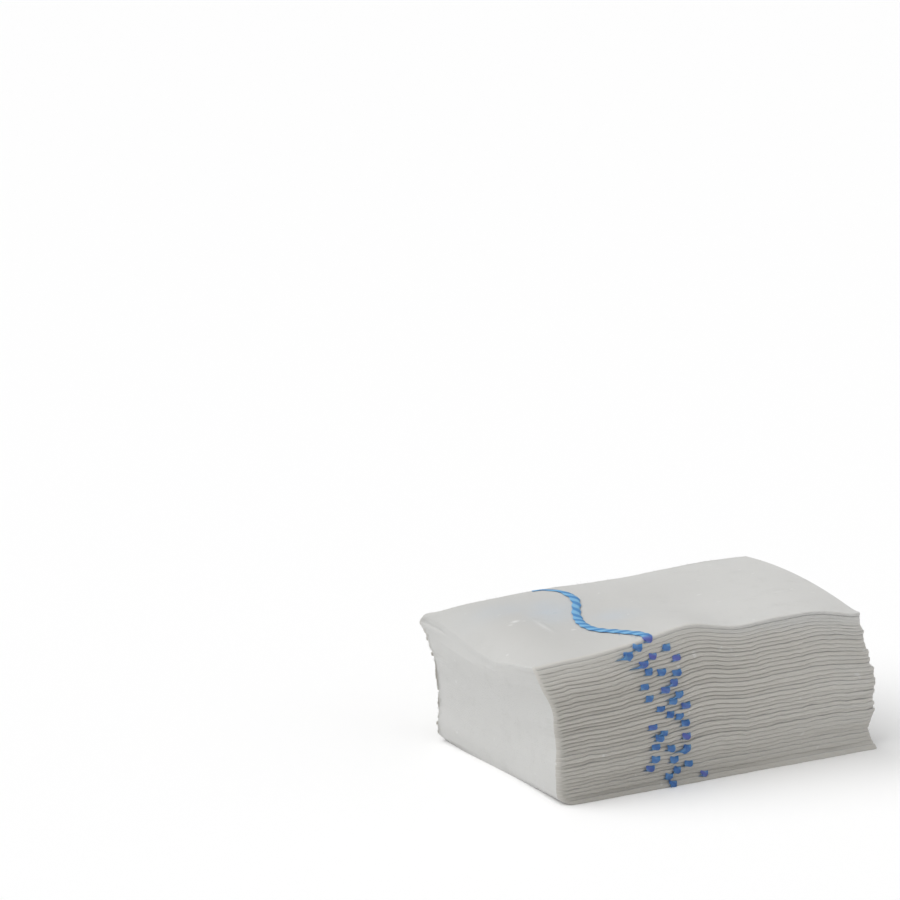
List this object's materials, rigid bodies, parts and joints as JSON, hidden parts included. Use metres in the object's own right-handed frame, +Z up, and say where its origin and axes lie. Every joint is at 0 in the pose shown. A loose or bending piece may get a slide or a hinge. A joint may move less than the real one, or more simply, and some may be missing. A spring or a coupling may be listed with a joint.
{
  "type": "hemostatic gauze",
  "caption": "Long strip of white nonwoven hemostatic gauze, folded back and forth into a pad, with a wavy blue X-ray-detectable thread.",
  "frame": {"origin": "centre of the pad's underside, on the surface that it rests on", "axes": "+X across the strip's width, +Y along the folded layers away from the folds that the thread crosses, +Z up"},
  "size_m": [0.0813, 0.0599, 0.0335],
  "materials": {
    "gauze": "matt white nonwoven cloth",
    "thread": "twisted blue yarn with a faint sheen"
  },
  "bodies": {
    "root": {"gauze_strip": "gauze", "tracer_thread": "thread"}
  },
  "joints": []
}
